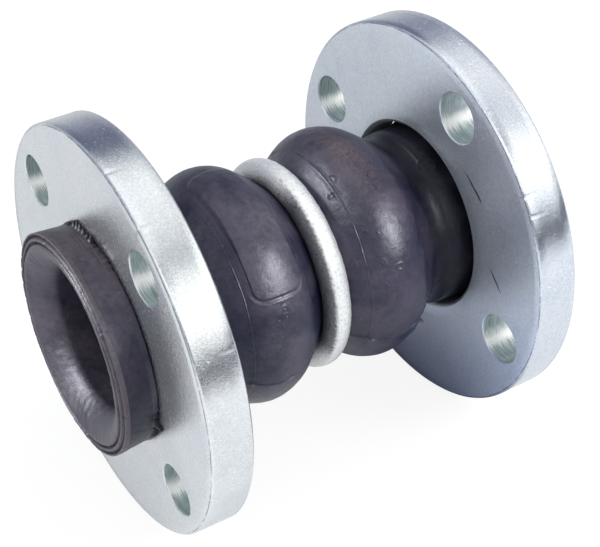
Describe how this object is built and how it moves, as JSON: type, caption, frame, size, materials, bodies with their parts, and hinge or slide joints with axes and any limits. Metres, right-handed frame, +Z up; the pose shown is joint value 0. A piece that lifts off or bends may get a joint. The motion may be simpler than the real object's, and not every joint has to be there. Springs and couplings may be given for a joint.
{
  "type": "rubber expansion joint",
  "caption": "Double-arch rubber expansion joint with floating drilled steel flanges, a root ring between the arches and wire-reinforced sealing cuffs.",
  "frame": {"origin": "centre of the root ring, on the pipe axis halfway between the two rubber sealing faces", "axes": "+X along the pipe axis towards the rear flange, +Z up, +Y completes the right-handed frame"},
  "size_m": [0.175, 0.1526, 0.1524],
  "materials": {
    "flange_zinc": "bright zinc plated, turned faces",
    "root_ring_zinc": "hot-dip galvanised, slightly rough",
    "bead_wire_steel": "drawn wire",
    "cord_ply": "rubberised nylon tyre cord",
    "tube_rubber": "smooth moulded",
    "cover_rubber": "satin moulded, dusty with light scuffs"
  },
  "bodies": {
    "front_flange": {"front_flange": "flange_zinc"},
    "front_cuff": {"front_cuff_tube": "tube_rubber", "front_cuff_ply_inner": "cord_ply", "front_cuff_ply_outer": "cord_ply", "front_cuff_cover": "cover_rubber", "front_bead_wire": "bead_wire_steel"},
    "front_arch": {"front_arch_tube": "tube_rubber", "front_arch_ply_inner": "cord_ply", "front_arch_ply_outer": "cord_ply", "front_arch_cover_neck_side": "cover_rubber", "front_arch_cover_crown": "cover_rubber", "front_arch_cover_waist_side": "cover_rubber"},
    "waist": {"root_ring": "root_ring_zinc", "waist_tube": "tube_rubber", "waist_ply_inner": "cord_ply", "waist_ply_outer": "cord_ply", "waist_cover": "cover_rubber"},
    "rear_arch": {"rear_arch_tube": "tube_rubber", "rear_arch_ply_inner": "cord_ply", "rear_arch_ply_outer": "cord_ply", "rear_arch_cover_neck_side": "cover_rubber", "rear_arch_cover_crown": "cover_rubber", "rear_arch_cover_waist_side": "cover_rubber"},
    "rear_cuff": {"rear_cuff_tube": "tube_rubber", "rear_cuff_ply_inner": "cord_ply", "rear_cuff_ply_outer": "cord_ply", "rear_cuff_cover": "cover_rubber", "rear_bead_wire": "bead_wire_steel"},
    "rear_flange": {"rear_flange": "flange_zinc"}
  },
  "joints": [
    {"name": "front_flange_swivel", "type": "hinge", "parent": "front_flange", "child": "front_cuff", "pos_m": [-0.0736, 0, 0], "axis": [1, 0, 0], "continuous": true},
    {"name": "front_arch_travel", "type": "slide", "parent": "front_cuff", "child": "front_arch", "axis": [1, 0, 0], "range_m": [-0.025, 0.015], "stiffness_N_per_m": 60000, "deforming": ["front_arch_cover_neck_side", "front_arch_tube", "front_arch_ply_inner", "front_arch_ply_outer"]},
    {"name": "front_arch_bend", "type": "hinge", "parent": "front_arch", "child": "waist", "pos_m": [-0.0241, 0, 0], "axis": [0, 1, 0], "range_deg": [-22, 22], "stiffness_Nm_per_rad": 340, "deforming": ["front_arch_cover_waist_side"]},
    {"name": "rear_arch_bend", "type": "hinge", "parent": "waist", "child": "rear_arch", "pos_m": [0.0241, 0, 0], "axis": [0, 1, 0], "range_deg": [-22, 22], "stiffness_Nm_per_rad": 340, "deforming": ["rear_arch_cover_waist_side"]},
    {"name": "rear_arch_travel", "type": "slide", "parent": "rear_arch", "child": "rear_cuff", "axis": [1, 0, 0], "range_m": [-0.025, 0.015], "stiffness_N_per_m": 60000, "deforming": ["rear_arch_cover_neck_side", "rear_arch_tube", "rear_arch_ply_inner", "rear_arch_ply_outer"]},
    {"name": "rear_flange_swivel", "type": "hinge", "parent": "rear_cuff", "child": "rear_flange", "pos_m": [0.0652, 0, 0], "axis": [0.9998, 0.0175, 0], "continuous": true}
  ]
}
